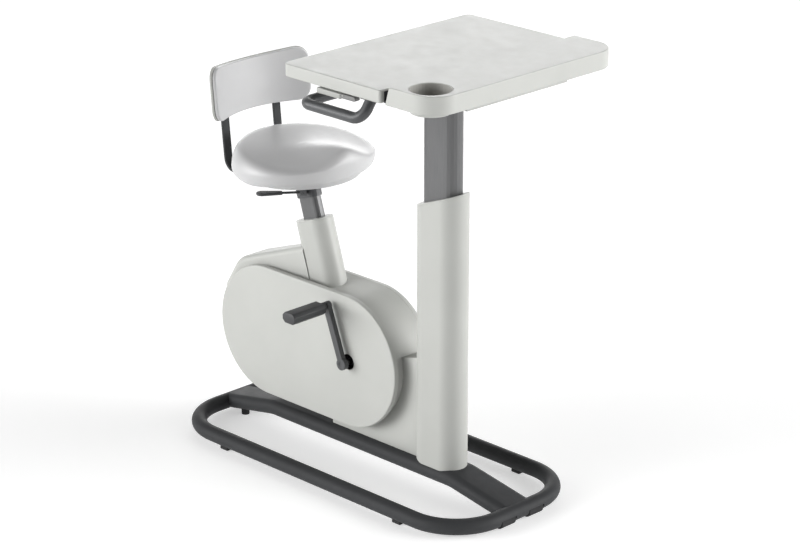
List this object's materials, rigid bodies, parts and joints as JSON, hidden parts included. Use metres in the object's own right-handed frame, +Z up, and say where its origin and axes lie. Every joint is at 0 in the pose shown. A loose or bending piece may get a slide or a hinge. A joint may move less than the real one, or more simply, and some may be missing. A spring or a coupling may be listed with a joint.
{
  "type": "desk exercise bike",
  "caption": "Stationary exercise bike with a height-adjustable desk in front of the rider, a gas-sprung saddle with backrest and a belt-driven flywheel in a closed housing.",
  "frame": {"origin": "on the floor under the middle of the base loop", "axes": "+X forward, from the seat to the desk; +Y to the rider's left; +Z up"},
  "size_m": [1.1768, 0.7616, 1.265],
  "materials": {
    "dark_powder_coat": "fine satin powder coat",
    "light_paint": "satin warm light grey paint",
    "light_shell": "satin moulded shell",
    "light_board": "matt laminate on board",
    "post_tube": "grey anodised",
    "black_rubber": "matt",
    "black_plastic": "fine moulded texture",
    "foam_skin": "smooth foam skin",
    "steel": "bright",
    "iron": "machined rim"
  },
  "bodies": {
    "chassis": {"base_loop": "dark_powder_coat", "centre_beam": "dark_powder_coat", "foot_pad_rear_right": "black_rubber", "foot_pad_rear_left": "black_rubber", "foot_pad_front_right": "black_rubber", "foot_pad_front_left": "black_rubber", "beam_foot_right": "black_rubber", "beam_foot_left": "black_rubber", "column_outer": "light_paint", "column_cap": "light_shell", "desk_gas_cylinder": "black_plastic", "right_cover": "light_shell", "left_cover": "light_shell", "housing_body": "light_shell", "fairing": "light_shell", "seat_sleeve": "light_paint", "sleeve_cap": "light_shell", "sleeve_pedestal": "dark_powder_coat", "drive_frame": "dark_powder_coat", "crank_bearing_right": "steel", "crank_bearing_left": "steel", "brake_magnet": "black_plastic", "drive_belt": "black_rubber", "seat_gas_rod": "steel"},
    "roller_right": {"roller_right": "black_plastic"},
    "roller_left": {"roller_left": "black_plastic"},
    "crank": {"crank_axle": "steel", "drive_pulley": "black_plastic", "crank_arm_right": "dark_powder_coat", "crank_arm_left": "dark_powder_coat", "pedal_axle_right": "steel", "pedal_axle_left": "steel"},
    "pedal_right": {"pedal_right": "black_plastic"},
    "pedal_left": {"pedal_left": "black_plastic"},
    "flywheel": {"flywheel": "iron", "flywheel_shaft": "steel"},
    "seat": {"seat_post": "post_tube", "post_glide": "black_plastic", "seat_gas_cylinder": "black_plastic", "seat_head": "dark_powder_coat", "seat_pan": "black_plastic", "seat_cushion": "foam_skin", "backrest_pad": "foam_skin", "backrest_shell": "light_shell", "backrest_upright_right": "dark_powder_coat", "backrest_upright_left": "dark_powder_coat"},
    "seat_lever": {"seat_lever": "black_plastic"},
    "desk": {"column_inner": "post_tube", "column_glide": "black_plastic", "desk_gas_rod": "steel", "desk_panel": "light_board", "front_ledge": "light_shell", "cup_liner": "black_plastic", "slot_trough": "black_plastic", "desk_tray": "light_paint", "handlebar": "dark_powder_coat", "handlebar_clamp_right": "dark_powder_coat", "handlebar_clamp_left": "dark_powder_coat", "release_bracket": "light_paint"},
    "release_paddle": {"release_paddle": "post_tube"}
  },
  "joints": [
    {"name": "desk_lift", "type": "slide", "parent": "chassis", "child": "desk", "axis": [0, 0, 1], "range_m": [-0.23, 0]},
    {"name": "seat_lift", "type": "slide", "parent": "chassis", "child": "seat", "axis": [-0.2957, 0, 0.9553], "range_m": [-0.06, 0.12]},
    {"name": "crank_spin", "type": "hinge", "parent": "chassis", "child": "crank", "pos_m": [-0.014, 0, 0.318], "axis": [0, 1, 0], "continuous": true},
    {"name": "flywheel_spin", "type": "hinge", "parent": "chassis", "child": "flywheel", "pos_m": [-0.3516, 0, 0.318], "axis": [0, 1, 0], "continuous": true},
    {"name": "pedal_right_spin", "type": "hinge", "parent": "crank", "child": "pedal_right", "pos_m": [-0.07409, -0.1845, 0.47702], "axis": [0, 1, 0], "continuous": true},
    {"name": "pedal_left_spin", "type": "hinge", "parent": "crank", "child": "pedal_left", "pos_m": [0.04609, 0.1845, 0.15898], "axis": [0, 1, 0], "continuous": true},
    {"name": "roller_right_spin", "type": "hinge", "parent": "chassis", "child": "roller_right", "pos_m": [0.571, -0.0545, 0.02], "axis": [0, 1, 0], "continuous": true},
    {"name": "roller_left_spin", "type": "hinge", "parent": "chassis", "child": "roller_left", "pos_m": [0.571, 0.0545, 0.02], "axis": [0, 1, 0], "continuous": true},
    {"name": "seat_lever_lift", "type": "hinge", "parent": "seat", "child": "seat_lever", "pos_m": [-0.232, -0.036, 0.757], "axis": [-0.7771, 0.6293, 0], "range_deg": [0, 8], "stiffness_Nm_per_rad": 0.5, "springref_deg": -17.19},
    {"name": "release_squeeze", "type": "hinge", "parent": "desk", "child": "release_paddle", "pos_m": [0.25, -0.3316, 1.2045], "axis": [0, -1, 0], "range_deg": [0, 8], "stiffness_Nm_per_rad": 0.5, "springref_deg": -17.19}
  ],
  "couplings": [
    {"joint": "flywheel_spin", "follows": "crank_spin", "ratio": 4.2}
  ]
}
